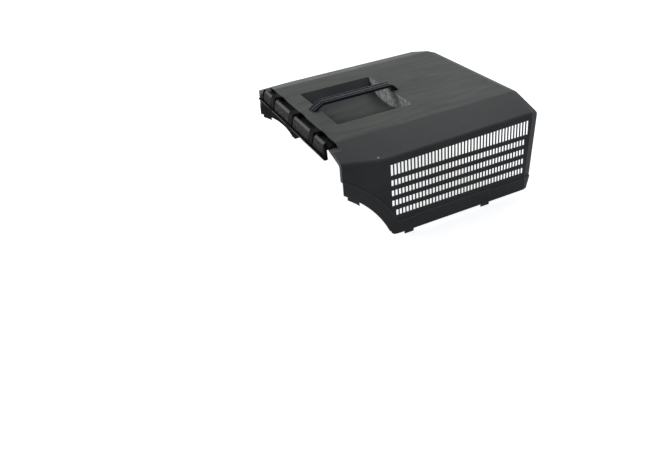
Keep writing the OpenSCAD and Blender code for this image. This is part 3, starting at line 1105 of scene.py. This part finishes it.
@dataclass
class Studio:
    """Camera, pale floor, white background and soft lamps.

    Attributes:
        eye: place of the camera in millimetres.
        yaw: turn of the view from +Y towards +X, in radians.
        pitch: how far the camera looks down, in radians.
        roll: turn of the picture, in radians.
        focal: focal length in pixels of the photograph.
        centre: point of the picture that the lens looks at, in its pixels.
        floor_half: half the width of the floor in metres.
        floor_colour: sRGB hex value of the floor.
        floor_glow: how much of the white background the floor shows by itself.
        ambient: strength of the light from all round.
        ambient_colour: sRGB hex value of that light.
        zenith: brightness of the background overhead, where the horizon is one.
        sky: heights of the view's direction between which the background dims.
        sensor: width of the camera's sensor in millimetres.
        clip: nearest and furthest distance that the camera sees, in metres.
        aim: point that the lamps look at, in metres.
        lamps: the soft lamps.
    """

    eye: tuple[float, float, float] = (-652.4, -1101.0, 721.8)
    yaw: float = 0.461
    pitch: float = 0.566
    roll: float = -0.045
    focal: float = 599.7
    centre: tuple[float, float] = (350.0, 200.0)
    floor_half: float = 8.0
    floor_colour: str = "#b9b9b8"
    floor_glow: float = 0.8
    ambient: float = 0.62
    ambient_colour: str = "#e2e5f0"
    zenith: float = 0.45
    sky: tuple[float, float] = (0.45, 0.9)
    sensor: float = 36.0
    clip: tuple[float, float] = (0.01, 100.0)
    aim: tuple[float, float, float] = (0.0, 0.0, 0.12)
    lamps: tuple[Lamp, ...] = (
        Lamp("left", (-2.2, 1.25, 1.25), 1.2, 58.0),
        Lamp("over", (0.85, 0.5, 1.45), 0.9, 12.5),
    )

    def place_camera(self) -> bpy.types.Object:
        """Place the camera at the photograph's viewing angle.

        Returns:
            The camera.
        """
        data = bpy.data.cameras.new("camera")
        data.sensor_width = self.sensor
        data.lens = self.focal / PHOTO_WIDTH * data.sensor_width
        data.shift_x = (PHOTO_WIDTH / 2 - self.centre[0]) / PHOTO_WIDTH
        data.shift_y = (self.centre[1] - PHOTO_HEIGHT / 2) / PHOTO_WIDTH
        data.clip_start, data.clip_end = self.clip
        ahead = Vector(
            (
                math.sin(self.yaw) * math.cos(self.pitch),
                math.cos(self.yaw) * math.cos(self.pitch),
                -math.sin(self.pitch),
            )
        )
        level = Vector((math.cos(self.yaw), -math.sin(self.yaw), 0))
        upright = level.cross(ahead)
        right = math.cos(self.roll) * level + math.sin(self.roll) * upright
        up = math.cos(self.roll) * upright - math.sin(self.roll) * level
        camera = bpy.data.objects.new("camera", data)
        turn = Matrix((right, up, -ahead)).transposed().to_4x4()
        camera.matrix_world = Matrix.Translation(Vector(self.eye) * MM) @ turn
        bpy.context.scene.collection.objects.link(camera)
        bpy.context.scene.camera = camera
        return camera

    def lay_floor(self) -> bpy.types.Object:
        """Lay the floor under the tips of the clip tongues.

        Its diffuse part takes the object's shadow, and its glow brings the lit
        floor up to white on the paths that see the background.

        Returns:
            The floor.
        """
        half = self.floor_half
        corners = np.array([(-half, -half, 0), (half, -half, 0), (half, half, 0), (-half, half, 0)])
        floor = add_mesh("floor", corners, [(0, 1, 2, 3)], smooth=False)
        material = bpy.data.materials.new("painted_floor")
        material.use_nodes = True
        tree = material.node_tree
        tree.nodes.clear()
        paint = add_node(tree, "BsdfDiffuse", {"Color": linear(self.floor_colour)})
        inputs = {0: add_background_mask(tree), 1: self.floor_glow}
        strength = add_node(tree, "Math", inputs, operation="MULTIPLY").outputs[0]
        glow = add_node(tree, "Emission", {"Strength": strength})
        both = add_node(tree, "AddShader", {0: paint.outputs[0], 1: glow.outputs[0]})
        add_node(tree, "OutputMaterial", {"Surface": both.outputs[0]})
        floor.data.materials.append(material)
        return floor

    def light_world(self) -> None:
        """Light the room: white at the horizon and dimmer overhead, with a weak fill."""
        world = bpy.data.worlds.new("studio")
        bpy.context.scene.world = world
        world.use_nodes = True
        tree = world.node_tree
        tree.nodes.clear()
        direction = add_node(tree, "TexCoord").outputs["Generated"]
        height = add_node(tree, "SeparateXYZ", {0: direction}).outputs[2]
        low, high = self.sky
        inputs = {0: height, 1: low, 2: high, 3: 1.0, 4: self.zenith}
        shown = add_node(tree, "MapRange", inputs).outputs[0]
        mask = add_background_mask(tree)
        inputs = {0: mask, 2: self.ambient, 3: shown}
        strength = add_node(tree, "Mix", inputs, data_type="FLOAT").outputs[0]
        inputs = {0: mask, 6: linear(self.ambient_colour), 7: linear("#ffffff")}
        colour = add_node(tree, "Mix", inputs, data_type="RGBA").outputs[2]
        background = add_node(tree, "Background", {"Color": colour, "Strength": strength})
        add_node(tree, "OutputWorld", {"Surface": background.outputs[0]})

    def hang_lamp(self, lamp: Lamp) -> None:
        """Hang one lamp, turned to the point that the lamps look at.

        Args:
            lamp: place, width and power of the lamp.
        """
        data = bpy.data.lights.new(lamp.name, "AREA")
        data.shape = "SQUARE"
        data.size = lamp.width
        data.energy = lamp.power
        hung = bpy.data.objects.new(lamp.name, data)
        hung.location = lamp.place
        toward = Vector(self.aim) - Vector(lamp.place)
        hung.rotation_euler = toward.to_track_quat("-Z", "Y").to_euler()
        bpy.context.scene.collection.objects.link(hung)

    def build(self) -> None:
        """Build the whole studio round the model."""
        settings = bpy.context.scene.view_settings
        settings.view_transform = "Standard"
        self.place_camera()
        self.lay_floor()
        self.light_world()
        for lamp in self.lamps:
            self.hang_lamp(lamp)


@dataclass
class Mouldings:
    """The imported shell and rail, which keep their meshes and take their finishes.

    Attributes:
        finishes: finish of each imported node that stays.
    """

    finishes: dict[str, MouldedPlastic] = field(
        default_factory=lambda: {"upper_shell": SHELL_FINISH, "hanging_rail": RAIL_FINISH}
    )

    def dress(self) -> dict[str, bpy.types.Material]:
        """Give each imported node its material.

        Returns:
            Material of each node.
        """
        made = {}
        for name, finish in self.finishes.items():
            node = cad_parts[name]
            material = finish.build()
            node.data.materials.clear()
            node.data.materials.append(material)
            made[name] = material
            LOG.info("%s dressed in %s", name, finish.name)
        return made


def main() -> None:
    """Build the studio and the pieces."""
    logging.basicConfig(level=logging.INFO, format="%(name)s: %(message)s")
    Studio().build()
    materials = Mouldings().dress()
    pieces = ShellTrim().build(materials["upper_shell"])
    pieces.append(Grip().build(GRIP_FINISH.build()))
    for piece in pieces:
        LOG.info("%s has %d faces", piece.name, len(piece.data.polygons))


if __name__ == "__main__":
    main()
